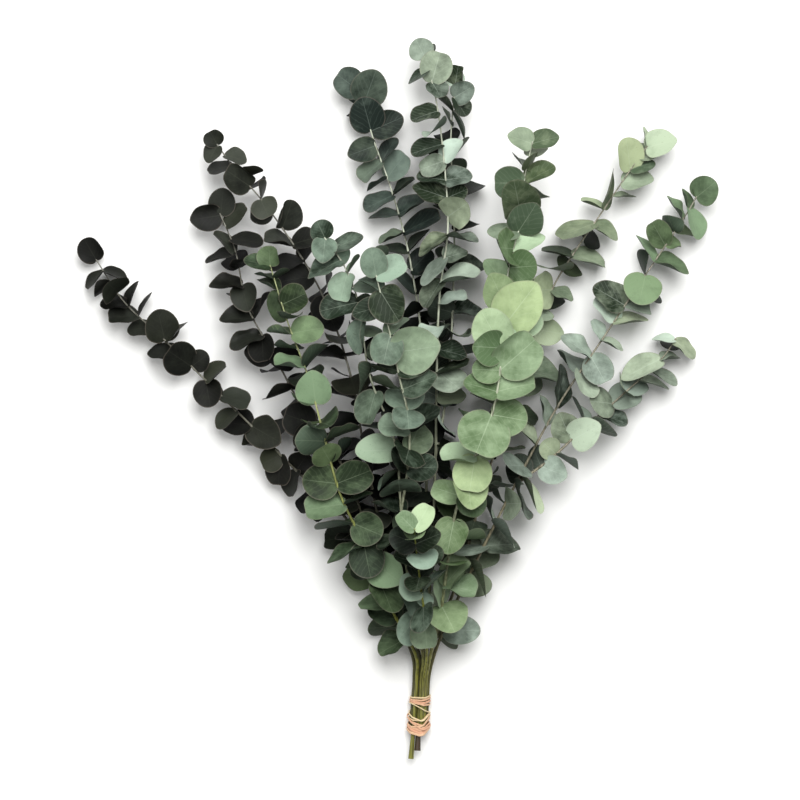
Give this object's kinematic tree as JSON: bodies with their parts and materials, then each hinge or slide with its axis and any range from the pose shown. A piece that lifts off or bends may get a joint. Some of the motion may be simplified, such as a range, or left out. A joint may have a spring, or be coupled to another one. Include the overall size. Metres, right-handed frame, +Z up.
{
  "type": "bunch of dried eucalyptus",
  "caption": "Tied bunch of dried round-leaved eucalyptus stalks, fanning out from an elastic band wound round the bare stems, lying on a surface.",
  "frame": {"origin": "on the surface that the bunch lies on, under the middle of its bounding box", "axes": "+Z up from the surface, +Y along the bunch from its cut ends to its leafy tips, +X to the right as seen from above with the tips pointing away"},
  "size_m": [0.5854, 0.653, 0.131],
  "materials": {
    "foliage_dark": "matte",
    "foliage_green": "matte",
    "foliage_light": "matte",
    "elastic": "matte"
  },
  "bodies": {
    "root": {"stalk_01": "foliage_dark", "stalk_02": "foliage_dark", "stalk_03": "foliage_dark", "stalk_04": "foliage_green", "stalk_05": "foliage_green", "stalk_06": "foliage_green", "stalk_07": "foliage_light", "stalk_08": "foliage_light", "stalk_09": "foliage_green", "stalk_10": "foliage_green", "stalk_11": "foliage_light", "upper_band": "elastic", "lower_band": "elastic"}
  },
  "joints": []
}
